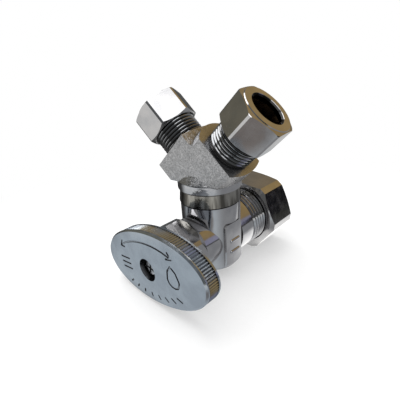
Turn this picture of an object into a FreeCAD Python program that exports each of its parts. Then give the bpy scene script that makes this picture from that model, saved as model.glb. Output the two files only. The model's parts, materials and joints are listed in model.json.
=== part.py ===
import FreeCAD, Part
import math
import os
from FreeCAD import Matrix, Placement, Rotation, Vector

# Dual-outlet angle stop valve: a compression inlet for a 5/8 in tube coming out of the wall,
# a screw-down stem opposite it, and a Y head with two compression outlets for 3/8 in tubes.
#
# Every piece is modelled about the valve centre, where the inlet axis (Y) crosses the vertical
# barrel axis (Z). The inlet is on +Y, the stem and its handle on -Y, the outlets above.
# On writing, all pieces shift together so that the origin is the mouth of the inlet socket.
# All sizes are in millimetres and degrees.

INCH = 25.4

# Inlet shank, sleeve and nut
inlet_tube_radius = 5 / 8 * INCH / 2
inlet_tube_play = 0.1
inlet_shank_wall = 2.28
inlet_pitch = INCH / 18
inlet_nut_across_flats = INCH
inlet_mouth = 24.0
inlet_socket_depth = 12.0
inlet_neck_start = 4.4
inlet_thread_start = 11.2
inlet_entry_length = 1.4
inlet_entry_flare = 1.0
inlet_nut_start = 17.4
inlet_nut_overhang = 7.0
inlet_nut_turn = 52.4
inlet_corner_cut = 0.72
inlet_nut_round = 2.2
inlet_nut_lip = 1.5
inlet_sleeve_length = 4.7

# Outlet shanks, sleeves and nuts
outlet_tube_radius = 3 / 8 * INCH / 2
outlet_tube_play = 0.09
outlet_shank_wall = 2.29
outlet_pitch = INCH / 24
outlet_nut_across_flats = 5 / 8 * INCH
outlet_mouth = 21.2
outlet_socket_depth = 8.0
outlet_entry_length = 1.2
outlet_entry_flare = 0.9
outlet_nut_start = 18.0
outlet_nut_overhang = 6.7
outlet_corner_cut = 0.22
outlet_nut_round = 1.3
outlet_nut_lip = 1.5
outlet_sleeve_length = 4.6
outlet_waterway_wall = 1.2
left_nut_turn = 27.0
right_nut_turn = 0.0

# Forms shared by every nut, sleeve and thread
thread_depth_share = 0.6
thread_crest_share = 0.16
shank_tip_step = 0.15
nut_bevel = 0.25
nut_mouth_length = 1.4
nut_mouth_flare = 1.0
nut_end_bevel = 0.5
sleeve_bed_play = 0.25
sleeve_end_play = 0.15
sleeve_lip = 0.19
tube_hole_play = 0.1

# Y head
head_height = 22.2
head_turn = 7.1
arm_lean = 45.0
arm_half_depth = 8.7
arm_reach = 11.3
arm_lower_half_width = 7.4
arm_lower_crown = 1.7
right_arm_upper_half_width = 6.25
right_arm_upper_crown = 3.6
left_arm_upper_half_width = 7.3
left_arm_upper_crown = 1.2
crotch_radius = 1.9
collar_radius = 10.35
collar_bottom = 17.4
collar_height = 3.2
shoulder_height = 2.6
band_top_radius = 9.75
band_foot_radius = 10.15
seam_bevel = 0.4
seam_height = 13.1
spigot_radius = 7.6
spigot_length = 5.0
spigot_bevel = 0.4
o_ring_section = 1.4
o_ring_level = 2.6

# Barrel and its side pads
barrel_radius = 9.9
barrel_bottom = -10.5
barrel_bottom_round = 3.0
pad_offset = 10.0
pad_front = -4.2
pad_back = 3.5
pad_top = 7.1
pad_corner_round = 0.8
pad_bottom_round = 5.0
dash_length = 4.9
dash_radius = 0.65
dash_height = 0.45
dash_middle = 0.15
dash_levels = (0.6, -3.45)

# Waterways and seat
waterway_radius = 4.2
chamber_radius = 6.3
chamber_back = 1.9
seat_face = 3.2
seat_lip = 1.1
seat_radius = 3.3
seat_ring_wall = 0.8
seat_ring_flare = 0.5

# Stem boss and packing nut
boss_radius = 8.75
boss_shoulder = 11.9
boss_end = 16.0
boss_thread_radius = 5 / 8 * INCH / 2
boss_relief = 0.6
packing_pitch = INCH / 24
packing_nut_wall = 1.585
packing_nut_end = 20.4
packing_nut_cap = 1.4
packing_nut_turn = 35.0
packing_corner_cut = 0.4
packing_rear_bevel = 3.2
packing_front_bevel = 1.2

# Stem
stem_radius = INCH / 8
stem_thread_radius = 5.6
stem_head_end = 3.1
stem_thread_start = 3.9
stem_thread_end = 8.2
stem_pitch = INCH / 20
body_thread_start = 3.4
body_thread_end = 9.4
body_bore_relief = 0.3
stem_head_radius = 4.95
washer_thickness = 2.2
washer_pocket_wall = 0.5
washer_pocket_depth = 0.8
washer_screw_radius = 1.4
washer_screw_length = 6.0
washer_screw_head_radius = 2.3
washer_screw_head_height = 1.2
washer_screw_slot = 0.6
square_side = 4.4
square_end = 24.3

# Handle
handle_half_length = 23.6
handle_half_width = 11.9
handle_rim_front = 27.25
handle_rim_back = 22.43
handle_edge_bevel = 0.5
handle_dome_height = 0.85
handle_plate = 2.2
handle_rim_wall = 2.2
handle_front_lip = 0.33
handle_back_lip = 0.55
handle_turn = 12.0
knurl_depth = 0.38
knurl_count = 136
knurl_evening = 0.16
hub_radius = 5.3
hub_back = 21.35
screw_recess_radius = 3.6
screw_recess_depth = 2.6

# Engraved marks on the handle's face
engraving_depth = 0.3
engraving_line = 0.6
arrow_share = 0.72
arrow_start = 42
arrow_end = 138
arrow_barb = 2.1
arrow_spread = 30
drop_across = 11.6
drop_up = -0.6
drop_radius = 2.3
drop_tip = 1.9
tick_start = 228
tick_end = 312
tick_step = 12
tick_inner_share = 0.70
tick_outer_share = 0.80
line_near = -9.2
line_far = -14.2
line_spacing = 1.8

# Handle screw
screw_radius = 1.75
screw_length = 6.5
screw_head_radius = 2.6
screw_head_height = 1.35
screw_slot_width = 0.65
screw_slot_reach = 1.6
screw_slot_floor = 0.4
screw_slot_turn = 20.0
screw_end_room = 0.3

# Packing
packing_washer_thickness = 0.8
packing_radius = 6.5
packing_length = 2.0

# Fits
running_gap = 0.05
thread_gap = 0.06
face_gap = 0.05
screw_gap = 0.03

X = Vector(1, 0, 0)
Y = Vector(0, 1, 0)
Z = Vector(0, 0, 1)
CENTRE = Vector(0, 0, 0)
FRONT = Vector(0, -1, 0)


def turned(vector, axis, angle):
    """A vector turned about an axis, in degrees."""
    return Rotation(axis, angle).multVec(vector)


HEAD_BACK = turned(Y, Z, head_turn)
HEAD_CENTRE = Vector(0, 0, head_height)
RIGHT_ARM = turned(Z, HEAD_BACK, arm_lean)
LEFT_ARM = turned(Z, HEAD_BACK, -arm_lean)

inlet_socket_radius = inlet_tube_radius + inlet_tube_play
inlet_thread_radius = inlet_socket_radius + inlet_shank_wall
outlet_socket_radius = outlet_tube_radius + outlet_tube_play
outlet_thread_radius = outlet_socket_radius + outlet_shank_wall

# The closed seat washer touches the seat but for a face gap
stem_head_start = -(seat_face - washer_thickness + washer_pocket_depth - 2 * face_gap)

# The stem's square drive begins just behind the handle's hub
square_start = hub_back - face_gap


def rod(start, direction, radius, length):
    """A round rod from a point along a direction."""
    return Part.makeCylinder(radius, length, start, direction)


def lathe(profile, start, direction):
    """A turned solid: profile points are (distance along the axis, radius)."""
    points = [Vector(radius, 0, along) for along, radius in profile]
    wire = Part.makePolygon(points + [points[0]])
    solid = Part.Face(wire).revolve(CENTRE, Z, 360)
    solid.Placement = Placement(start, Rotation(Z, direction))
    return solid


def ring(start, direction, inner, outer, length):
    """A flat ring."""
    return rod(start, direction, outer, length).cut(rod(start, direction, inner, length))


def across(direction, toward):
    """The unit vector square to a direction that points most nearly toward another."""
    side = toward - direction * toward.dot(direction)
    return side.normalize()


def thread_root(radius, pitch):
    """The root radius below a thread's crests."""
    return radius - thread_depth_share * pitch


def thread_profile(start, end, radius, pitch):
    """Points of V ridges, from start to end along the axis, with crests at the thread radius."""
    root = thread_root(radius, pitch)
    half_crest = thread_crest_share / 2
    points = [(start, root)]
    for index in range(int((end - start) / pitch)):
        foot = start + index * pitch
        points.append((foot + (0.5 - half_crest) * pitch, radius))
        points.append((foot + (0.5 + half_crest) * pitch, radius))
        points.append((foot + pitch, root))
    return points


def hexagon(start, direction, toward, flat_radius, length, corner_cut):
    """A hexagonal bar with a corner toward a direction and its sharp corners taken off."""
    corner_radius = flat_radius / math.cos(math.radians(30))
    first = across(direction, toward)
    points = []
    for index in range(7):
        points.append(start + turned(first, direction, 60 * index) * corner_radius)
    bar = Part.Face(Part.makePolygon(points)).extrude(direction * length)
    for index in range(6):
        outward = turned(first, direction, 60 * index)
        side = direction.cross(outward)
        inner = start + outward * (corner_radius - corner_cut) - side * corner_radius
        corner = [
            inner,
            inner + side * 2 * corner_radius,
            inner + side * 2 * corner_radius + outward * corner_radius,
            inner + outward * corner_radius,
            inner,
        ]
        bar = bar.cut(Part.Face(Part.makePolygon(corner)).extrude(direction * length))
    return bar


def past_corner(flat_radius):
    """A radius just outside the corners of a hexagon."""
    return flat_radius / math.cos(math.radians(30)) + 0.2


def rounded_envelope(start, direction, flat_radius, length, far_round):
    """The turned shape that bevels a nut's threaded end and rounds off its far end."""
    corner = past_corner(flat_radius)
    rise = corner - flat_radius
    near = flat_radius - nut_bevel
    profile = [
        (0, 0),
        (0, near),
        ((corner - near) * math.tan(math.radians(30)), corner),
        (length - far_round, corner),
        (length - far_round / 2, flat_radius + rise * 0.6),
        (length - far_round / 5, near),
        (length, near - far_round / 10),
        (length, 0),
    ]
    return lathe(profile, start, direction)


def compression_nut(axis_start, direction, toward, sizes):
    """A nut over a shank: plain thread bore, sleeve cone and tube hole through its end."""
    flat_radius = sizes["flat_radius"]
    length = sizes["length"]
    start = axis_start + direction * sizes["start"]
    bar = hexagon(start, direction, toward, flat_radius, length, sizes["corner_cut"])
    nut = bar.common(rounded_envelope(start, direction, flat_radius, length, sizes["far_round"]))
    bore = sizes["thread_radius"] + thread_gap
    bore_end = sizes["shank_end"] - sizes["start"] + nut_end_bevel
    bed = sizes["sleeve_radius"] + sleeve_bed_play
    hole = sizes["socket_radius"] + tube_hole_play
    cone_end = sizes["sleeve_end"] - sizes["start"]
    cone_start = cone_end - (sizes["sleeve_radius"] + running_gap - hole)
    profile = [
        (-nut_mouth_flare, 0),
        (-nut_mouth_flare, bore + nut_mouth_length),
        (nut_mouth_length - nut_mouth_flare, bore),
        (bore_end, bore),
        (bore_end, bed),
        (cone_start, bed),
        (cone_end, hole),
        (length - nut_end_bevel, hole),
        (length + nut_end_bevel, hole + 2 * nut_end_bevel),
        (length + nut_end_bevel, 0),
    ]
    return nut.cut(lathe(profile, start, direction))


def compression_sleeve(axis_start, direction, sizes):
    """A brass ring with both ends tapered, resting in the flared mouth of its shank."""
    inner = sizes["socket_radius"] - screw_gap
    outer = sizes["sleeve_radius"]
    lip = inner + sleeve_lip
    begin = sizes["sleeve_end"] - sizes["sleeve_length"]
    end = sizes["sleeve_end"] - sleeve_end_play
    taper = outer - lip
    profile = [
        (begin, inner),
        (begin, lip),
        (begin + taper * 1.5, outer),
        (end - taper * 1.2, outer),
        (end, lip),
        (end, inner),
    ]
    return lathe(profile, axis_start, direction)


def inlet_sizes():
    """Sizes shared by the inlet's shank, sleeve and nut, measured from the valve centre."""
    return {
        "thread_radius": inlet_thread_radius,
        "socket_radius": inlet_socket_radius,
        "flat_radius": inlet_nut_across_flats / 2,
        "start": inlet_nut_start,
        "length": inlet_mouth + inlet_nut_overhang - inlet_nut_start,
        "corner_cut": inlet_corner_cut,
        "far_round": inlet_nut_round,
        "shank_end": inlet_mouth + inlet_entry_length,
        "sleeve_radius": inlet_socket_radius + inlet_entry_flare - tube_hole_play,
        "sleeve_length": inlet_sleeve_length,
        "sleeve_end": inlet_mouth + inlet_nut_overhang - inlet_nut_lip,
    }


def outlet_sizes():
    """Sizes shared by each outlet's shank, sleeve and nut, measured from the arms' crossing."""
    return {
        "thread_radius": outlet_thread_radius,
        "socket_radius": outlet_socket_radius,
        "flat_radius": outlet_nut_across_flats / 2,
        "start": outlet_nut_start,
        "length": outlet_mouth + outlet_nut_overhang - outlet_nut_start,
        "corner_cut": outlet_corner_cut,
        "far_round": outlet_nut_round,
        "shank_end": outlet_mouth + outlet_entry_length,
        "sleeve_radius": outlet_socket_radius + outlet_entry_flare - tube_hole_play,
        "sleeve_length": outlet_sleeve_length,
        "sleeve_end": outlet_mouth + outlet_nut_overhang - outlet_nut_lip,
    }


def side_pad(side):
    """The flat forged pad on one side of the barrel, no deeper than the barrel's round."""
    low = barrel_bottom
    corner = pad_corner_round
    outline = [
        Vector(0, pad_front, low),
        Vector(0, pad_front, pad_top - corner),
        Vector(0, pad_front + corner, pad_top),
        Vector(0, pad_back - corner, pad_top),
        Vector(0, pad_back, pad_top - corner),
        Vector(0, pad_back, low),
    ]
    face = Part.Face(Part.makePolygon(outline + [outline[0]]))
    return face.extrude(X * side * pad_offset)


def rounded_post(radius, bottom_round):
    """An upright post as deep as the barrel, rounded at its lower end."""
    post = rod(Vector(0, 0, barrel_bottom), Z, radius, seam_height - barrel_bottom - face_gap)
    lowest = min(post.Edges, key=lambda edge: edge.CenterOfMass.z)
    return post.makeFillet(bottom_round, [lowest])


def pad_dash(level):
    """A short raised bead with round ends on the right-hand pad."""
    reach = dash_length / 2 - dash_radius
    middle = Vector(pad_offset + dash_height - dash_radius, dash_middle, level)
    bead = rod(middle - Y * reach, Y, dash_radius, 2 * reach)
    for side in (1, -1):
        bead = bead.fuse(Part.makeSphere(dash_radius, middle + Y * side * reach))
    return bead


def inlet_shank():
    """The threaded shank toward the wall."""
    shank_end = inlet_mouth + inlet_entry_length
    tip = thread_root(inlet_thread_radius, inlet_pitch) - shank_tip_step
    neck = inlet_thread_radius - shank_tip_step
    core = (inlet_thread_radius + chamber_radius) / 2
    profile = [(0, 0), (0, core), (inlet_neck_start, core), (inlet_neck_start, neck)]
    profile += [(inlet_thread_start - inlet_pitch / 2, neck)]
    profile += thread_profile(
        inlet_thread_start, shank_end - inlet_pitch / 2, inlet_thread_radius, inlet_pitch
    )
    profile += [(shank_end, tip), (shank_end, 0)]
    return lathe(profile, CENTRE, Y)


def stem_boss():
    """The boss toward the handle, threaded at its end for the packing nut."""
    root = thread_root(boss_thread_radius, packing_pitch)
    profile = [(0, 0), (0, boss_radius), (boss_shoulder, boss_radius), (boss_shoulder, root)]
    profile += thread_profile(
        boss_shoulder + boss_relief, boss_end, boss_thread_radius, packing_pitch
    )
    profile += [(boss_end, root - shank_tip_step), (boss_end, 0)]
    return lathe(profile, CENTRE, FRONT)


def valve_body():
    """The forged body: barrel, inlet shank, stem boss, seat and waterways."""
    outside = rounded_post(barrel_radius, barrel_bottom_round)
    pad_reach = math.hypot(pad_offset, max(-pad_front, pad_back))
    for side in (1, -1):
        corner = Vector(min(side * pad_offset, side * 2 * pad_offset), pad_front, barrel_bottom)
        slab = Part.makeBox(pad_offset, pad_back - pad_front, pad_top - barrel_bottom, corner)
        outside = outside.cut(slab)
        outside = outside.fuse(side_pad(side).common(rounded_post(pad_reach, pad_bottom_round)))
    outside = outside.fuse(inlet_shank())
    outside = outside.fuse(stem_boss())
    for level in dash_levels:
        outside = outside.fuse(pad_dash(level))
    outside = outside.removeSplitter()

    entry_end = inlet_mouth + inlet_entry_length
    socket_bottom = inlet_mouth - inlet_socket_depth
    ring_radius = seat_radius + seat_ring_wall
    inlet_way = lathe(
        [
            (chamber_back, 0),
            (chamber_back, chamber_radius),
            (seat_face + seat_lip, chamber_radius),
            (seat_face + seat_lip, ring_radius + seat_ring_flare),
            (seat_face, ring_radius),
            (seat_face, seat_radius),
            (socket_bottom, seat_radius + seat_ring_flare),
            (socket_bottom, inlet_socket_radius),
            (inlet_mouth, inlet_socket_radius),
            (entry_end, inlet_socket_radius + inlet_entry_flare),
            (entry_end, 0),
        ],
        CENTRE,
        Y,
    )
    front_way = lathe(
        [
            (-seat_face, 0),
            (-seat_face, chamber_radius),
            (body_thread_start, chamber_radius),
            (body_thread_start, stem_thread_radius + thread_gap),
            (body_thread_end, stem_thread_radius + thread_gap),
            (body_thread_end, stem_thread_radius + body_bore_relief),
            (boss_end, stem_thread_radius + body_bore_relief),
            (boss_end, 0),
        ],
        CENTRE,
        FRONT,
    )
    rise = rod(CENTRE, Z, waterway_radius, seam_height)
    socket_start = Z * (seam_height - spigot_length - face_gap)
    socket = rod(socket_start, Z, spigot_radius + screw_gap, spigot_length + face_gap)
    return outside.cut(inlet_way).cut(front_way).cut(rise).cut(socket)


def crowned_edge(level, crown, sideways):
    """Three points of an arm section's crowned side: front, middle and back."""
    front = sideways * level - HEAD_BACK * arm_half_depth
    middle = sideways * (level + crown)
    back = sideways * level + HEAD_BACK * arm_half_depth
    return front, middle, back


def arm_bar(direction, upper_half_width, upper_crown):
    """One forged arm of the Y head: flat in front and behind, crowned above and below."""
    up = HEAD_BACK.cross(direction)
    if up.z < 0:
        up = up * -1
    upper = crowned_edge(upper_half_width, upper_crown, up)
    lower = crowned_edge(arm_lower_half_width, arm_lower_crown, up * -1)
    edges = [
        Part.Arc(*upper).toShape(),
        Part.LineSegment(upper[2], lower[2]).toShape(),
        Part.Arc(*reversed(lower)).toShape(),
        Part.LineSegment(lower[0], upper[0]).toShape(),
    ]
    section = Part.Face(Part.Wire(edges))
    section.translate(HEAD_CENTRE - direction * arm_lower_half_width)
    return section.extrude(direction * (arm_reach + arm_lower_half_width))


def crotch_web():
    """The rounded web that fills the V between the two arms, from front to back."""
    right = right_arm_upper_half_width
    left = left_arm_upper_half_width
    root = crotch_radius
    low = RIGHT_ARM * (left - 1) + LEFT_ARM * (right - 1)
    along_left = RIGHT_ARM * left + LEFT_ARM * (right + root)
    along_right = RIGHT_ARM * (left + root) + LEFT_ARM * right
    centre = RIGHT_ARM * (left + root) + LEFT_ARM * (right + root)
    middle = centre - (RIGHT_ARM + LEFT_ARM).normalize() * root
    edges = [
        Part.Arc(along_left, middle, along_right).toShape(),
        Part.LineSegment(along_right, low).toShape(),
        Part.LineSegment(low, along_left).toShape(),
    ]
    section = Part.Face(Part.Wire(edges))
    section.translate(HEAD_CENTRE - HEAD_BACK * arm_half_depth)
    return section.extrude(HEAD_BACK * 2 * arm_half_depth)


def outlet_shank(direction):
    """The threaded shank at the end of one arm."""
    shank_end = outlet_mouth + outlet_entry_length
    root = thread_root(outlet_thread_radius, outlet_pitch)
    first = arm_reach + outlet_pitch / 2
    profile = [(0, 0), (0, root)]
    profile += thread_profile(
        first, shank_end - outlet_pitch / 2, outlet_thread_radius, outlet_pitch
    )
    profile += [(shank_end, root - shank_tip_step), (shank_end, 0)]
    return lathe(profile, HEAD_CENTRE, direction)


def outlet_way(direction):
    """The socket, entry cone and waterway through one arm."""
    bottom = outlet_mouth - outlet_socket_depth
    shank_end = outlet_mouth + outlet_entry_length
    way_radius = outlet_tube_radius - outlet_waterway_wall
    profile = [
        (0, 0),
        (0, way_radius),
        (bottom, way_radius),
        (bottom, outlet_socket_radius),
        (outlet_mouth, outlet_socket_radius),
        (shank_end, outlet_socket_radius + outlet_entry_flare),
        (shank_end, 0),
    ]
    return lathe(profile, HEAD_CENTRE, direction)


def turned_foot():
    """The head's turned lower end: spigot with its O-ring groove, band, collar and shoulder."""
    spigot_end = seam_height - spigot_length
    groove_middle = seam_height - o_ring_level
    groove_half = o_ring_section / 2 + running_gap
    groove_root = spigot_radius - o_ring_section
    collar_top = collar_bottom + collar_height
    profile = [
        (spigot_end, 0),
        (spigot_end, spigot_radius - spigot_bevel),
        (spigot_end + spigot_bevel, spigot_radius),
        (groove_middle - groove_half, spigot_radius),
        (groove_middle - groove_half, groove_root),
        (groove_middle + groove_half, groove_root),
        (groove_middle + groove_half, spigot_radius),
        (seam_height, spigot_radius),
        (seam_height, band_foot_radius - seam_bevel),
        (seam_height + seam_bevel, band_foot_radius),
        (collar_bottom, band_top_radius),
        (collar_bottom + collar_radius - band_top_radius, collar_radius),
        (collar_top, collar_radius),
        (collar_top + shoulder_height, arm_half_depth - running_gap),
        (collar_top + shoulder_height, 0),
    ]
    return lathe(profile, CENTRE, Z)


def head_o_ring():
    """The O-ring that seals the head's spigot in the barrel."""
    section = o_ring_section / 2 - face_gap / 2
    middle = spigot_radius - o_ring_section / 2
    return Part.makeTorus(middle, section, Z * (seam_height - o_ring_level))


def outlet_y_head():
    """The Y forging: two arms, their threaded shanks and the turned foot below them."""
    right = arm_bar(RIGHT_ARM, right_arm_upper_half_width, right_arm_upper_crown)
    left = arm_bar(LEFT_ARM, left_arm_upper_half_width, left_arm_upper_crown)
    head = right.fuse([left, crotch_web()])
    below = rod(CENTRE, Z, 2 * head_height, collar_bottom + collar_height)
    head = head.cut(below).fuse(turned_foot())
    for direction in (RIGHT_ARM, LEFT_ARM):
        head = head.fuse(outlet_shank(direction))
    head = head.removeSplitter()
    head = head.cut(rod(CENTRE, Z, waterway_radius, head_height))
    for direction in (RIGHT_ARM, LEFT_ARM):
        head = head.cut(outlet_way(direction))
    return head


def packing_nut():
    """The hexagonal nut that closes the stem boss and squeezes the packing."""
    flat_radius = boss_thread_radius + packing_nut_wall
    start = FRONT * (boss_shoulder + face_gap)
    length = packing_nut_end - boss_shoulder - face_gap
    toward = turned(X, FRONT, packing_nut_turn)
    bar = hexagon(start, FRONT, toward, flat_radius, length, packing_corner_cut)
    corner = past_corner(flat_radius)
    envelope = lathe(
        [
            (0, 0),
            (0, flat_radius - nut_bevel),
            (nut_bevel, flat_radius),
            (packing_rear_bevel, corner),
            (length - packing_front_bevel, corner),
            (length, flat_radius - packing_front_bevel / 2),
            (length, 0),
        ],
        start,
        FRONT,
    )
    thread_length = boss_end - boss_shoulder
    thread_bore = boss_thread_radius + thread_gap
    cavity_radius = packing_radius + running_gap
    stem_hole = stem_radius + 2 * running_gap
    hollow = lathe(
        [
            (0, 0),
            (0, thread_bore),
            (thread_length, thread_bore),
            (thread_length, cavity_radius),
            (length - packing_nut_cap, cavity_radius),
            (length - packing_nut_cap, stem_hole),
            (length, stem_hole),
            (length, 0),
        ],
        start,
        FRONT,
    )
    return bar.common(envelope).cut(hollow)


def centred_box(start, side, length):
    """A square bar on the stem axis, from a point toward the handle."""
    corner = start - X * (side / 2) - Z * (side / 2) + FRONT * length
    return Part.makeBox(side, length, side, corner)


def stem():
    """The brass stem: washer pocket, coarse thread, plain shaft and square drive end."""
    profile = [
        (stem_head_start, 0),
        (stem_head_start, stem_head_radius),
        (stem_head_end, stem_head_radius),
        (stem_head_end, stem_radius),
    ]
    profile += thread_profile(stem_thread_start, stem_thread_end, stem_thread_radius, stem_pitch)
    profile += [(stem_thread_end, stem_radius), (square_end, stem_radius), (square_end, 0)]
    solid = lathe(profile, CENTRE, FRONT)
    start = FRONT * square_start
    length = square_end - square_start
    square = centred_box(start, square_side, length)
    solid = solid.cut(rod(start, FRONT, 2 * stem_radius, length).cut(square))
    pocket_radius = stem_head_radius - washer_pocket_wall
    pocket = rod(FRONT * stem_head_start, FRONT, pocket_radius, washer_pocket_depth)
    washer_hole = rod(
        FRONT * stem_head_start, FRONT, washer_screw_radius + screw_gap, washer_screw_length
    )
    handle_hole = rod(
        FRONT * (square_end - screw_length), FRONT, screw_radius + screw_gap, screw_length
    )
    return solid.cut(pocket).cut(washer_hole).cut(handle_hole)


def seat_washer():
    """The rubber disc that closes on the seat."""
    radius = stem_head_radius - washer_pocket_wall - running_gap
    bottom = stem_head_start + washer_pocket_depth - face_gap
    hole = washer_screw_radius + running_gap
    return ring(FRONT * bottom, Y, hole, radius, washer_thickness)


def seat_washer_screw():
    """The brass screw that holds the seat washer on the stem."""
    start = seat_face
    top = start + washer_screw_head_height
    bevel = washer_screw_head_height / 4
    profile = [
        (start - washer_screw_length, 0),
        (start - washer_screw_length, washer_screw_radius),
        (start, washer_screw_radius),
        (start, washer_screw_head_radius),
        (top - bevel, washer_screw_head_radius),
        (top, washer_screw_head_radius - bevel),
        (top, 0),
    ]
    slot = Part.makeBox(
        2 * washer_screw_head_radius,
        washer_screw_slot,
        washer_screw_slot,
        Vector(-washer_screw_head_radius, top - washer_screw_slot, -washer_screw_slot / 2),
    )
    return lathe(profile, CENTRE, Y).cut(slot)


def packing_washer():
    """The brass washer on the end of the boss, under the packing."""
    start = FRONT * (boss_end + face_gap)
    return ring(start, FRONT, stem_radius + running_gap, packing_radius, packing_washer_thickness)


def stem_packing():
    """The packing ring squeezed between the washer and the nut."""
    start = FRONT * (boss_end + 2 * face_gap + packing_washer_thickness)
    return ring(start, FRONT, stem_radius + running_gap, packing_radius, packing_length)


def oval_wire(depth, inset):
    """The handle's oval outline at a depth."""
    curve = Part.Ellipse(FRONT * depth, handle_half_length - inset, handle_half_width - inset)
    curve.Axis = FRONT
    curve.XAxis = X
    return Part.Wire(curve.toShape())


def knurled_wire(depth):
    """The oval outline with evenly spaced V grooves all round."""
    points = []
    for index in range(2 * knurl_count):
        angle = math.pi * index / knurl_count
        angle += knurl_evening * math.sin(2 * angle)
        inset = running_gap / 2 + knurl_depth * (index % 2)
        across_half = handle_half_length - inset
        up_half = handle_half_width - inset
        points.append(Vector(across_half * math.cos(angle), -depth, up_half * math.sin(angle)))
    return Part.makePolygon(points + [points[0]])


def slab(wire, length):
    """A slab from a wire toward the front."""
    return Part.Face(wire).extrude(FRONT * length)


def handle_dome(lowered):
    """The crowned front of the handle, an oval cap standing on the bevelled rim."""
    short_half = handle_half_width - handle_edge_bevel
    long_half = handle_half_length - handle_edge_bevel
    height = handle_dome_height
    radius = (short_half ** 2 + height ** 2) / (2 * height)
    cap = Part.makeSphere(radius, Z * (height - radius))
    cap = cap.common(rod(CENTRE, Z, 2 * short_half, 2 * height))
    stretch = Matrix()
    stretch.A11 = long_half / short_half
    cap = cap.transformGeometry(stretch)
    cap.Placement = Placement(FRONT * (handle_rim_front - lowered), Rotation(X, 90))
    return cap


def groove(points, width):
    """A straight-sided cutter along a chain of points on the handle's face."""
    front = handle_rim_front + 2 * handle_dome_height
    depth = 4 * handle_dome_height
    cutter = None
    for first, second in zip(points, points[1:]):
        run = Vector(second[0] - first[0], 0, second[1] - first[1])
        side = run.cross(FRONT).normalize() * (width / 2)
        start = Vector(first[0], -front, first[1])
        end = Vector(second[0], -front, second[1])
        face = Part.Face(
            Part.makePolygon([start + side, end + side, end - side, start - side, start + side])
        )
        piece = face.extrude(Y * depth)
        piece = piece.fuse([rod(start, Y, width / 2, depth), rod(end, Y, width / 2, depth)])
        cutter = piece if cutter is None else cutter.fuse(piece)
    return cutter


def oval_point(share, angle):
    """A point on a smaller copy of the handle's oval, as (across, up)."""
    turn = math.radians(angle)
    return (
        share * handle_half_length * math.cos(turn),
        share * handle_half_width * math.sin(turn),
    )


def turning_arrow():
    """A long curved arrow with a head at each end, along the upper edge."""
    sweep = [oval_point(arrow_share, angle) for angle in range(arrow_start, arrow_end + 1, 8)]
    marks = [groove(sweep, engraving_line)]
    for tip, inner in ((sweep[0], sweep[1]), (sweep[-1], sweep[-2])):
        backward = math.degrees(math.atan2(inner[1] - tip[1], inner[0] - tip[0]))
        for spread in (-arrow_spread, arrow_spread):
            heading = math.radians(backward + spread)
            barb = (tip[0] + arrow_barb * math.cos(heading), tip[1] + arrow_barb * math.sin(heading))
            marks.append(groove([tip, barb], engraving_line))
    return marks


def drop_outline():
    """A closed water-drop outline, pointed at its top."""
    outline = []
    for step in range(0, 361, 30):
        turn = math.radians(step)
        reach = drop_radius + drop_tip * max(0.0, math.cos(turn)) ** 6
        outline.append((drop_across + reach * math.sin(turn), drop_up + reach * math.cos(turn)))
    return outline


def engraved_marks():
    """Plain generic marks: a turning arrow above, a drop, three lines, and ticks below."""
    marks = turning_arrow()
    marks.append(groove(drop_outline(), engraving_line))
    for angle in range(tick_start, tick_end + 1, tick_step):
        inner = oval_point(tick_inner_share, angle)
        outer = oval_point(tick_outer_share, angle)
        marks.append(groove([inner, outer], engraving_line))
    for level in (line_spacing, 0, -line_spacing):
        marks.append(groove([(line_far, level), (line_near, level)], engraving_line))
    return marks


def handle():
    """The oval handle: domed plate, knurled rim, hollow back and a hub with a square hole."""
    plate_back = handle_rim_front - handle_plate
    bevel_back = handle_rim_front - handle_edge_bevel
    knurl_front = bevel_back - handle_front_lip
    knurl_back = handle_rim_back + handle_back_lip
    outer_edge = oval_wire(bevel_back, 0)
    bevel = Part.makeLoft([outer_edge, oval_wire(handle_rim_front, handle_edge_bevel)], True)
    front_lip = slab(oval_wire(knurl_front, 0), handle_front_lip)
    back_lip = slab(oval_wire(handle_rim_back, 0), handle_back_lip)
    rim = slab(knurled_wire(knurl_back), knurl_front - knurl_back)
    solid = rim.fuse([front_lip, back_lip, bevel, handle_dome(0)])
    hollow = oval_wire(handle_rim_back, handle_rim_wall)
    solid = solid.cut(slab(hollow, plate_back - handle_rim_back))
    hub = rod(FRONT * hub_back, FRONT, hub_radius, handle_rim_front - hub_back)
    solid = solid.fuse(hub)
    marks = engraved_marks()
    face_skin = handle_dome(0).cut(handle_dome(engraving_depth))
    solid = solid.cut(marks[0].fuse(marks[1:]).common(face_skin))
    recess_floor = handle_rim_front + handle_dome_height - screw_recess_depth
    recess = rod(FRONT * recess_floor, FRONT, screw_recess_radius, 2 * screw_recess_depth)
    square_depth = square_end + face_gap - hub_back
    square = centred_box(FRONT * hub_back, square_side + 2 * screw_gap, square_depth)
    screw_hole = rod(FRONT * hub_back, FRONT, screw_radius + tube_hole_play, 2 * hub_radius)
    return solid.cut([recess, square, screw_hole])


def handle_screw():
    """The pan-head screw in the handle's recess."""
    seat = handle_rim_front + handle_dome_height - screw_recess_depth + face_gap
    shank_start = square_end - screw_length + screw_end_room
    radius = screw_head_radius
    height = screw_head_height
    profile = [
        (shank_start, 0),
        (shank_start, screw_radius / 2),
        (shank_start + screw_radius / 2, screw_radius),
        (seat, screw_radius),
        (seat, radius),
        (seat + height * 0.55, radius),
        (seat + height * 0.85, radius * 0.82),
        (seat + height, radius * 0.5),
        (seat + height, 0),
    ]
    screw = lathe(profile, CENTRE, FRONT)
    slot_length = 2 * screw_slot_reach
    for angle in (screw_slot_turn, screw_slot_turn + 90):
        corner = Vector(-screw_slot_reach, -seat - height, -screw_slot_width / 2)
        slot = Part.makeBox(slot_length, height - screw_slot_floor, screw_slot_width, corner)
        slot.rotate(CENTRE, Y, angle)
        screw = screw.cut(slot)
    return screw


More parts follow.
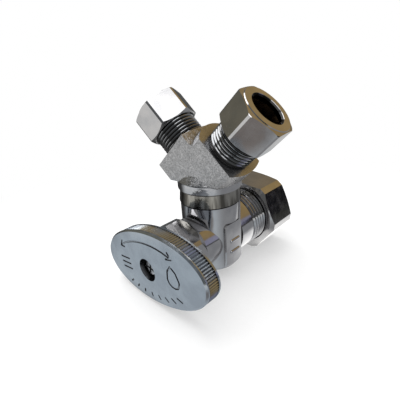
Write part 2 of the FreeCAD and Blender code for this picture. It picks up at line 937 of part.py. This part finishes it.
def save(name, shape, turn=0):
    """Turns a piece about the stem axis if asked, moves it to the origin and writes it."""
    piece = shape.copy()
    if turn:
        piece.rotate(CENTRE, FRONT, turn)
    piece.translate(Y * -inlet_mouth)
    if len(piece.Solids) != 1 or not piece.isValid():
        raise ValueError(name + " is not one valid solid")
    piece.Solids[0].exportStep("parts/" + name + ".step")


def main():
    os.makedirs("parts", exist_ok=True)
    save("body", valve_body())
    save("outlet_y_head", outlet_y_head())
    save("head_o_ring", head_o_ring())

    inlet = inlet_sizes()
    inlet_toward = turned(X, FRONT, inlet_nut_turn)
    save("inlet_nut", compression_nut(CENTRE, Y, inlet_toward, inlet))
    save("inlet_sleeve", compression_sleeve(CENTRE, Y, inlet))

    outlet = outlet_sizes()
    for side, arm, turn in (("left", LEFT_ARM, left_nut_turn), ("right", RIGHT_ARM, right_nut_turn)):
        toward = turned(HEAD_BACK * -1, arm, turn)
        save(side + "_outlet_nut", compression_nut(HEAD_CENTRE, arm, toward, outlet))
        save(side + "_outlet_sleeve", compression_sleeve(HEAD_CENTRE, arm, outlet))

    save("packing_nut", packing_nut())
    save("packing_washer", packing_washer())
    save("stem_packing", stem_packing())
    save("stem", stem(), handle_turn)
    save("seat_washer", seat_washer())
    save("seat_washer_screw", seat_washer_screw(), handle_turn)
    save("handle", handle(), handle_turn)
    save("handle_screw", handle_screw(), handle_turn)


main()
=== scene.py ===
import json
import math

import bpy
from mathutils import Matrix, Vector


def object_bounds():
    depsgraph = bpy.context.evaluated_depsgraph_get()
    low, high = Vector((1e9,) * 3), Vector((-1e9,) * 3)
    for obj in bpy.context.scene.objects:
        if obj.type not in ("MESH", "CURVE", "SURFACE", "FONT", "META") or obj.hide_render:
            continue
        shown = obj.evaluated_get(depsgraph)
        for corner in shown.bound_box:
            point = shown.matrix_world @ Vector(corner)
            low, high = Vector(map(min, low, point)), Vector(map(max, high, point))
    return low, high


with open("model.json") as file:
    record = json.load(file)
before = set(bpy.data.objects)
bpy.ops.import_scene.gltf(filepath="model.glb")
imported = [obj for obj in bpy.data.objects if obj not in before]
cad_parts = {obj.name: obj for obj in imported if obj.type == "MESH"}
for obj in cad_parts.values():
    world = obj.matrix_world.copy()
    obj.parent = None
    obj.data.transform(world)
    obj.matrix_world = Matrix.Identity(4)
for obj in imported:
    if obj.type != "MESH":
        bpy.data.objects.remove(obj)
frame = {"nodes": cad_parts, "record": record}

CAD_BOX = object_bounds()
BOX_MIDDLE = (CAD_BOX[0] + CAD_BOX[1]) / 2
MM = 0.001
MICRON = 0.001 * MM

# Camera: where it looks, from which side, how high and how tilted (degrees), how far away, lens (mm)
LOOK_AT = Vector((-5.68, -23.29, 10.38)) * MM
AZIMUTH = 45.54
ELEVATION = 23.69
ROLL = -3.79
DISTANCE = 102.73 * MM
LENS = 26.39
NEAREST_SEEN = 5 * MM
FURTHEST_SEEN = 20.0

# The Y head: its shanks, and the painted shade inside its tube sockets, run inward from the outlet
# mouths.
# Its collar and band are given by their heights
SHANK_LENGTH = 9.9 * MM
SOCKET_SHADE_DEPTH = 9.2 * MM
SOCKET_SHADE_RADIUS = 5.3 * MM
SOCKET_SHADE_EDGE = 0.15 * MM
COLLAR_TOP = 20.6 * MM
BAND_SPAN = (13.1 * MM, 17.4 * MM)
FINISH_EDGE = 0.25 * MM
BAND_EDGE = 0.1 * MM

# Edges between faces that meet more sharply than this stay sharp
SHARP_ANGLE = math.radians(24)

# Painted shade: dark tones inside tube sockets, in narrow grooves and between neighbouring pieces. A
# tone goes from full to none over its span of openness
SOCKET_SHADE_TONE = (0.03, 0.03, 0.03)
BRASS_SOCKET_SHADE_TONE = (0.14, 0.09, 0.05)
CREVICE_SHADE_TONE = (0.10, 0.095, 0.09)
CREVICE_REACH = 0.6 * MM
CREVICE_SPAN = (0.35, 0.95)
SHADE_TONE = (0.16, 0.16, 0.165)
SHADE_REACH = 7 * MM
SHADE_SPAN = (0.25, 0.85)
OCCLUSION_SAMPLES = 8

# Stage: a pale floor that goes over into a white backdrop
FLOOR_RADIUS = 2.0
FLOOR_SIDES = 96
FLOOR_GAP = 0.05 * MM
FLOOR_MIDDLE = Vector((BOX_MIDDLE.x, BOX_MIDDLE.y, CAD_BOX[0].z - FLOOR_GAP))
BACKDROP_SPAN = (60 * MM, 150 * MM)
BACKDROP_SHARE_NEAR = 0.4

# Painted reflections, the tones that the floor glows with for polished metal only: a near and a
# further tone, sectors (heading, cosines where it starts and where it is full, tone), the distant
# floor except to the front left, and round spots (middle, full within, gone beyond, tone). Each
# covers those before it
NEAR_REFLECTION_TONE = (0.50, 0.54, 0.57)
FURTHER_REFLECTION_TONE = (0.80, 0.80, 0.79)
FURTHER_SPAN = (70 * MM, 115 * MM)
REFLECTION_SECTORS = (
    ((0.8, 0.6, 0.0), 0.2, 0.8, (0.30, 0.305, 0.315)),  # grey to the back right
    ((-0.95, 0.3, 0.0), 0.45, 0.85, (0.05, 0.05, 0.05)),  # dark to the left
)
DISTANT_REFLECTION_TONE = (0.05, 0.05, 0.045)
DISTANT_SPAN = (190 * MM, 250 * MM)
FRONT_LEFT = ((-0.6, -0.8, 0.0), 0.72, 0.90)
REFLECTION_SPOTS = (
    ((31 * MM, -70 * MM), 10 * MM, 20 * MM, (0.23, 0.21, 0.20)),  # dull in front of the handle
    ((-8 * MM, 10 * MM), 22 * MM, 42 * MM, (1.35, 1.34, 1.32)),  # bright behind the valve
)

# What polished metal sees of the room: a darker and a lighter wall tone by height, then soft panels
# (direction, full within and gone beyond in degrees, tone)
WALL_SPAN = (-0.1, 0.8)
WALL_TONES = ((0.09, 0.09, 0.085), (0.15, 0.16, 0.17))
PANELS = (
    ((-0.93, -0.37, 0.05), 18, 50, (0.17, 0.16, 0.125)),  # olive wall on the left
    ((0.25, 0.78, 0.57), 8, 52, (0.39, 0.275, 0.125)),  # warm wall behind
    ((0.80, 0.60, 0.02), 12, 20, (0.30, 0.30, 0.40)),  # lavender patch low at the back right
    ((0.61, 0.79, 0.02), 5, 9, (0.01, 0.01, 0.012)),  # dark gap beside it
    ((0.61, -0.26, 0.74), 20, 26, (1.9, 1.9, 1.9)),  # bright lamp high on the right
)

# What metal sees by way of other metal, and what matt surfaces and the camera see of the room
SECOND_GLANCE = (0.42, 0.42, 0.42)
MATT_LIGHT = (0.92, 0.92, 0.92)
WHITE = (1.0, 1.0, 1.0)

# Places on a Mix node of its two values and its result
MIX_PLACES = {"FLOAT": (2, 3, 0), "RGBA": (6, 7, 2)}


def outlet_sockets():
    """The mouth and the outward direction of each outlet tube socket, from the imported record."""
    mounts = frame["record"]["mounts"]
    sockets = [mount for mount in mounts if mount["name"].endswith("_outlet_socket")]
    return [(Vector(socket["pos_m"]), Vector(socket["axis"])) for socket in sockets]


OUTLETS = outlet_sockets()


class Nodes:
    """Short names for building one node tree."""

    def __init__(self, tree):
        self.tree = tree
        tree.nodes.clear()

    def feed(self, socket, value):
        """Links another node's output to a socket, or sets the socket's own value."""
        if isinstance(value, bpy.types.NodeSocket):
            self.tree.links.new(value, socket)
        elif socket.type == "RGBA":
            socket.default_value = (*value, 1)
        else:
            socket.default_value = value

    def add(self, kind, **inputs):
        """A new node, with inputs given by their names and _ for a space."""
        node = self.tree.nodes.new("ShaderNode" + kind)
        for name, value in inputs.items():
            self.feed(node.inputs[name.replace("_", " ")], value)
        return node

    def coords(self):
        return self.add("TexCoord").outputs["Object"]

    def math(self, operation, first, second):
        node = self.add("Math")
        node.operation = operation
        self.feed(node.inputs[0], first)
        self.feed(node.inputs[1], second)
        return node.outputs[0]

    def vector(self, operation, first, second=None):
        """Vector arithmetic: a number from a product or a length, otherwise a vector."""
        node = self.add("VectorMath")
        node.operation = operation
        self.feed(node.inputs[0], first)
        if second is not None:
            self.feed(node.inputs[1], second)
        return node.outputs["Value" if operation in ("DOT_PRODUCT", "LENGTH") else "Vector"]

    def dot(self, vector, direction):
        return self.vector("DOT_PRODUCT", vector, direction)

    def distance(self, where, point):
        return self.vector("LENGTH", self.vector("SUBTRACT", where, point))

    def remap(self, value, low, high, to_low=0, to_high=1):
        """Takes low to high smoothly over into to_low to to_high, level beyond them."""
        node = self.add(
            "MapRange", Value=value, From_Min=low, From_Max=high, To_Min=to_low, To_Max=to_high
        )
        node.interpolation_type = "SMOOTHSTEP"
        return node.outputs[0]

    def step(self, value, level, softness, below=0, above=1):
        """Goes from one number to the other as the value passes a level."""
        return self.remap(value, level - softness, level + softness, below, above)

    def mix(self, share, first, second, kind="RGBA"):
        """A colour, or a number with kind FLOAT, between two others."""
        node = self.add("Mix")
        node.data_type = kind
        first_place, second_place, result = MIX_PLACES[kind]
        self.feed(node.inputs[0], share)
        self.feed(node.inputs[first_place], first)
        self.feed(node.inputs[second_place], second)
        return node.outputs[result]

    def blend(self, share, first, second):
        """A shader between two others."""
        node = self.add("MixShader")
        self.feed(node.inputs[0], share)
        self.feed(node.inputs[1], first.outputs[0])
        self.feed(node.inputs[2], second.outputs[0])
        return node

    def noise(self, where, scale, detail, roughness=0.5):
        """Even noise, with its scale in features per metre."""
        node = self.add("TexNoise", Vector=where, Scale=scale, Detail=detail, Roughness=roughness)
        return node.outputs["Fac"]

    def patches(self, where, scale, detail, low=0, high=1, spread=(0.3, 0.7), roughness=0.5):
        """Noise whose usual spread is drawn out from low to high."""
        return self.remap(self.noise(where, scale, detail, roughness), *spread, low, high)

    def bump(self, height, distance, normal=None):
        node = self.add("Bump", Strength=1.0, Distance=distance, Height=height)
        if normal is not None:
            self.feed(node.inputs["Normal"], normal)
        return node.outputs["Normal"]

    def openness(self, reach, span):
        """0 in corners closed in within a reach, 1 on open faces, changing over a span."""
        node = self.add("AmbientOcclusion", Distance=reach)
        node.samples = OCCLUSION_SAMPLES
        return self.remap(node.outputs["AO"], *span)


def paint_crevice_shade(nodes, colour):
    """Paints shade into a colour inside narrow grooves, and less so between neighbouring pieces."""
    shade = nodes.mix(nodes.openness(SHADE_REACH, SHADE_SPAN), SHADE_TONE, colour)
    return nodes.mix(nodes.openness(CREVICE_REACH, CREVICE_SPAN), CREVICE_SHADE_TONE, shade)


def in_socket(nodes, where):
    """1 inside the outlets' tube sockets and the nut holes over them, where shade is painted, 0
    elsewhere.
    """
    inside = 0.0
    for mouth, outward in OUTLETS:
        offset = nodes.vector("SUBTRACT", where, mouth)
        from_axis = nodes.vector("LENGTH", nodes.vector("CROSS_PRODUCT", offset, outward))
        within = nodes.remap(from_axis, SOCKET_SHADE_RADIUS, SOCKET_SHADE_RADIUS + SOCKET_SHADE_EDGE, 1, 0)
        above = nodes.math("GREATER_THAN", nodes.dot(offset, outward), -SOCKET_SHADE_DEPTH)
        inside = nodes.math("MAXIMUM", nodes.math("MULTIPLY", within, above), inside)
    return inside


def on_shanks(nodes, where):
    """1 on the Y head's threaded shanks, 0 below them."""
    share = 0.0
    for mouth, outward in OUTLETS:
        outwards = nodes.dot(nodes.vector("SUBTRACT", where, mouth), outward)
        share = nodes.math("MAXIMUM", nodes.step(outwards, -SHANK_LENGTH, FINISH_EDGE), share)
    return share


def new_material(name):
    material = bpy.data.materials.new(name)
    material.use_nodes = True
    return material, Nodes(material.node_tree)


def surface(nodes, **inputs):
    """Ends a material's nodes with a principled shader that has the inputs given."""
    shader = nodes.add("BsdfPrincipled", **inputs)
    nodes.add("OutputMaterial", Surface=shader.outputs[0])


def plated_metal(name, dark, light, gloss, satin, ripple, grain):
    """Chrome plate: mottled tone with painted shade in grooves, between pieces and in the tube
    sockets, uneven gloss, slow ripple and fine grain.
    """
    material, nodes = new_material(name)
    where = nodes.coords()
    # painted shade darkens the mottled plate in grooves and between neighbouring pieces
    plate = paint_crevice_shade(nodes, nodes.mix(nodes.patches(where, scale=190, detail=4), dark, light))
    slow = nodes.bump(nodes.noise(where, scale=260, detail=2), ripple)
    fine = nodes.noise(where, scale=2600, detail=5, roughness=0.65)
    surface(
        nodes,
        Metallic=1,
        # painted shade: near black inside the tube sockets and the nut holes over them
        Base_Color=nodes.mix(in_socket(nodes, where), plate, SOCKET_SHADE_TONE),
        Roughness=nodes.patches(where, scale=420, detail=4, low=gloss, high=satin),
        Normal=nodes.bump(fine, grain, slow),
    )
    return material


def body_chrome():
    return plated_metal(
        "body_chrome",
        dark=(0.50, 0.50, 0.52),
        light=(0.62, 0.62, 0.63),
        gloss=0.05,
        satin=0.12,
        ripple=30 * MICRON,
        grain=1.2 * MICRON,
    )


def nut_chrome():
    return plated_metal(
        "nut_chrome",
        dark=(0.52, 0.52, 0.53),
        light=(0.62, 0.61, 0.61),
        gloss=0.07,
        satin=0.16,
        ripple=16 * MICRON,
        grain=2 * MICRON,
    )


def handle_chrome():
    return plated_metal(
        "handle_chrome",
        dark=(0.47, 0.51, 0.56),
        light=(0.56, 0.61, 0.66),
        gloss=0.16,
        satin=0.26,
        ripple=14 * MICRON,
        grain=3 * MICRON,
    )


def screw_steel():
    return plated_metal(
        "screw_steel",
        dark=(0.36, 0.36, 0.37),
        light=(0.50, 0.50, 0.51),
        gloss=0.22,
        satin=0.36,
        ripple=8 * MICRON,
        grain=4 * MICRON,
    )


def turned_metal(nodes, where, shanks):
    """Bright turned tone, with painted shade in the threads and painted dark reflection streaks on
    the band under the collar.
    """
    cloud = nodes.patches(where, scale=160, detail=4)
    plain = nodes.mix(cloud, (0.50, 0.50, 0.52), (0.62, 0.62, 0.63))
    height = nodes.dot(where, (0, 0, 1))
    above = nodes.step(height, BAND_SPAN[0], BAND_EDGE)
    below = nodes.step(height, BAND_SPAN[1], BAND_EDGE, 1, 0)
    # painted reflection: dark vertical streaks on the band under the collar
    drawn_out = nodes.add("Mapping", Vector=where, Scale=(1, 1, 0.15)).outputs["Vector"]
    reflection_streak = nodes.patches(drawn_out, scale=330, detail=3, spread=(0.42, 0.6))
    band = nodes.mix(reflection_streak, (0.13, 0.125, 0.11), (0.40, 0.39, 0.36))
    with_band_reflection = nodes.mix(nodes.math("MULTIPLY", above, below), plain, band)
    # painted shade: a darker tone in the threads
    threads = nodes.mix(cloud, (0.30, 0.31, 0.32), (0.42, 0.43, 0.44))
    return nodes.mix(shanks, with_band_reflection, threads)


def head_satin_chrome():
    """Rough forged faces on the Y, bright turned metal on its foot and threaded shanks."""
    material, nodes = new_material("head_satin_chrome")
    where = nodes.coords()
    shanks = on_shanks(nodes, where)
    foot = nodes.step(nodes.dot(where, (0, 0, 1)), COLLAR_TOP, FINISH_EDGE, 1, 0)
    bright = nodes.math("MAXIMUM", shanks, foot)
    speck = nodes.patches(where, scale=2400, detail=3, spread=(0.38, 0.62), roughness=0.7)
    forged = nodes.mix(speck, (0.34, 0.34, 0.345), (0.56, 0.56, 0.57))
    # painted shade darkens the forged and turned skin in grooves and between neighbouring pieces
    skin = paint_crevice_shade(nodes, nodes.mix(bright, forged, turned_metal(nodes, where, shanks)))
    satin = nodes.patches(where, scale=700, detail=5, low=0.24, high=0.40)
    gloss = nodes.patches(where, scale=420, detail=4, low=0.06, high=0.14)
    pebble = nodes.noise(where, scale=1100, detail=6, roughness=0.62)
    forged_pebble = nodes.math("MULTIPLY", pebble, nodes.math("SUBTRACT", 1.0, bright))
    slow = nodes.bump(nodes.noise(where, scale=420, detail=3), 60 * MICRON)
    surface(
        nodes,
        Metallic=1,
        # painted shade: near black inside the tube sockets
        Base_Color=nodes.mix(in_socket(nodes, where), skin, SOCKET_SHADE_TONE),
        Roughness=nodes.mix(bright, satin, gloss, kind="FLOAT"),
        Normal=nodes.bump(forged_pebble, 110 * MICRON, slow),
    )
    return material


def brass():
    """Plain turned brass, a little tarnished, with painted shade inside the tube sockets."""
    material, nodes = new_material("brass")
    where = nodes.coords()
    tarnish = nodes.patches(where, scale=300, detail=5, spread=(0.35, 0.7))
    metal = nodes.mix(tarnish, (0.72, 0.50, 0.22), (0.42, 0.27, 0.11))
    surface(
        nodes,
        Metallic=1,
        # painted shade: dark brass inside the tube sockets
        Base_Color=nodes.mix(in_socket(nodes, where), metal, BRASS_SOCKET_SHADE_TONE),
        Roughness=nodes.remap(tarnish, 0, 1, 0.2, 0.42),
        Normal=nodes.bump(nodes.noise(where, scale=2200, detail=4), 3 * MICRON),
    )
    return material


def rubber(name, grey):
    """Dull moulded rubber with a fine skin."""
    material, nodes = new_material(name)
    where = nodes.coords()
    bloom = nodes.patches(where, scale=500, detail=4, spread=(0.4, 0.7))
    clean = 3 * (grey,)
    bloomed = 3 * (2 * grey,)
    surface(
        nodes,
        Base_Color=nodes.mix(bloom, clean, bloomed),
        Roughness=nodes.remap(bloom, 0, 1, 0.55, 0.75),
        Normal=nodes.bump(nodes.noise(where, scale=3000, detail=4), 5 * MICRON),
    )
    return material


FINISHES = {
    "body_chrome": body_chrome(),
    "head_satin_chrome": head_satin_chrome(),
    "nut_chrome": nut_chrome(),
    "handle_chrome": handle_chrome(),
    "brass": brass(),
    "packing_rubber": rubber("packing_rubber", 0.02),
    "washer_rubber": rubber("washer_rubber", 0.015),
    "screw_steel": screw_steel(),
}


def dress(node_name, slot):
    """Gives a CAD node its finish and smooth shading between its sharp edges."""
    piece = frame["nodes"][node_name]
    piece.data.materials.clear()
    piece.data.materials.append(FINISHES[slot])
    piece.data.shade_smooth()
    piece.data.set_sharp_from_angle(angle=SHARP_ANGLE)
    flats = piece.modifiers.new("flat_faces", "WEIGHTED_NORMAL")
    flats.mode = "FACE_AREA"
    flats.weight = 100
    flats.keep_sharp = True


def second_glance(nodes):
    """1 where metal sees the stage by way of other metal."""
    return nodes.math("GREATER_THAN", nodes.add("LightPath").outputs["Glossy Depth"], 1.5)


def painted_floor_reflection(nodes, where):
    """Painted reflection: the tone that the floor glows with for polished metal, by the place that
    the metal sees.
    """
    distance = nodes.distance(where, FLOOR_MIDDLE)
    heading = nodes.vector("NORMALIZE", nodes.vector("SUBTRACT", where, FLOOR_MIDDLE))
    tone = nodes.mix(nodes.remap(distance, *FURTHER_SPAN), NEAR_REFLECTION_TONE, FURTHER_REFLECTION_TONE)
    for direction, start, full, sector_tone in REFLECTION_SECTORS:
        tone = nodes.mix(nodes.remap(nodes.dot(heading, direction), start, full), tone, sector_tone)
    direction, start, full = FRONT_LEFT
    elsewhere = nodes.remap(nodes.dot(heading, direction), start, full, 1, 0)
    distant = nodes.math("MULTIPLY", elsewhere, nodes.remap(distance, *DISTANT_SPAN))
    tone = nodes.mix(distant, tone, DISTANT_REFLECTION_TONE)
    for middle, full, gone, spot_tone in REFLECTION_SPOTS:
        from_middle = nodes.distance(where, (*middle, FLOOR_MIDDLE.z))
        tone = nodes.mix(nodes.remap(from_middle, full, gone, 1, 0), tone, spot_tone)
    return nodes.mix(second_glance(nodes), tone, SECOND_GLANCE)


def floor_paper():
    """White paper near the valve, going over into the backdrop; to polished metal the floor glows
    with painted reflection tones instead.
    """
    material, nodes = new_material("floor_paper")
    where = nodes.coords()
    grain = nodes.noise(where, scale=900, detail=3)
    paper = nodes.add("BsdfDiffuse", Color=nodes.mix(grain, (0.86, 0.86, 0.86), (0.90, 0.90, 0.90)))
    backdrop = nodes.add("Emission", Color=WHITE, Strength=1.0)
    distance = nodes.distance(where, FLOOR_MIDDLE)
    seen = nodes.blend(nodes.remap(distance, *BACKDROP_SPAN, BACKDROP_SHARE_NEAR, 1), paper, backdrop)
    # painted reflection: for glossy rays the floor glows with the tones that polished metal should
    # see
    painted_reflection = nodes.add("Emission", Color=painted_floor_reflection(nodes, where), Strength=1.0)
    either = nodes.blend(nodes.add("LightPath").outputs["Is Glossy Ray"], seen, painted_reflection)
    nodes.add("OutputMaterial", Surface=either.outputs[0])
    return material


def floor():
    """A flat round floor just under the valve."""
    ring = []
    for index in range(FLOOR_SIDES):
        turn = 2 * math.pi * index / FLOOR_SIDES
        ring.append(FLOOR_MIDDLE + FLOOR_RADIUS * Vector((math.cos(turn), math.sin(turn), 0)))
    mesh = bpy.data.meshes.new("floor")
    mesh.from_pydata(ring, [], [list(range(FLOOR_SIDES))])
    mesh.materials.append(floor_paper())
    plane = bpy.data.objects.new("floor", mesh)
    bpy.context.scene.collection.objects.link(plane)


def studio_world():
    """White to the eye, soft white to matt surfaces, and a dim room with soft panels to metal."""
    world = bpy.data.worlds.new("studio")
    bpy.context.scene.world = world
    world.use_nodes = True
    nodes = Nodes(world.node_tree)
    where = nodes.add("TexCoord").outputs["Generated"]
    room = nodes.mix(nodes.remap(nodes.dot(where, (0, 0, 1)), *WALL_SPAN), *WALL_TONES)
    for direction, full, gone, tone in PANELS:
        facing = nodes.dot(where, Vector(direction).normalized())
        far, near = (math.cos(math.radians(angle)) for angle in (gone, full))
        room = nodes.mix(nodes.remap(facing, far, near), room, tone)
    room = nodes.mix(second_glance(nodes), room, SECOND_GLANCE)
    path = nodes.add("LightPath")
    room = nodes.mix(path.outputs["Is Diffuse Ray"], room, MATT_LIGHT)
    room = nodes.mix(path.outputs["Is Camera Ray"], room, WHITE)
    background = nodes.add("Background", Color=room, Strength=1.0)
    nodes.add("OutputWorld", Surface=background.outputs[0])


def soft_light(name, direction, distance, size, power):
    """A square soft light aimed at the middle of the valve."""
    data = bpy.data.lights.new(name, "AREA")
    data.size = size
    data.energy = power
    lamp = bpy.data.objects.new(name, data)
    back = Vector(direction).normalized()
    lamp.location = BOX_MIDDLE + back * distance
    lamp.rotation_mode = "QUATERNION"
    lamp.rotation_quaternion = (-back).to_track_quat("-Z", "Y")
    bpy.context.scene.collection.objects.link(lamp)


def camera():
    """Looks at the valve from its front right, a little from above."""
    turn, lift, roll = (math.radians(angle) for angle in (AZIMUTH, ELEVATION, ROLL))
    level_back = Vector((math.sin(turn), -math.cos(turn), 0))
    back = level_back * math.cos(lift) + Vector((0, 0, math.sin(lift)))
    level = Vector((math.cos(turn), math.sin(turn), 0))
    upright = back.cross(level)
    right = level * math.cos(roll) + upright * math.sin(roll)
    up = back.cross(right)
    turned = Matrix((right, up, back)).transposed().to_quaternion()
    data = bpy.data.cameras.new("camera")
    data.lens = LENS
    data.clip_start = NEAREST_SEEN
    data.clip_end = FURTHEST_SEEN
    eye = bpy.data.objects.new("camera", data)
    eye.matrix_world = Matrix.LocRotScale(LOOK_AT + back * DISTANCE, turned, None)
    bpy.context.scene.collection.objects.link(eye)
    bpy.context.scene.camera = eye


for entry in frame["record"]["subparts"]:
    dress(entry["node"], entry["material_slot"])
floor()
studio_world()
soft_light(
    "key_light", direction=(-0.30, -0.10, 0.95), distance=350 * MM, size=360 * MM, power=1.1
)
camera()
bpy.context.scene.view_settings.view_transform = "Standard"
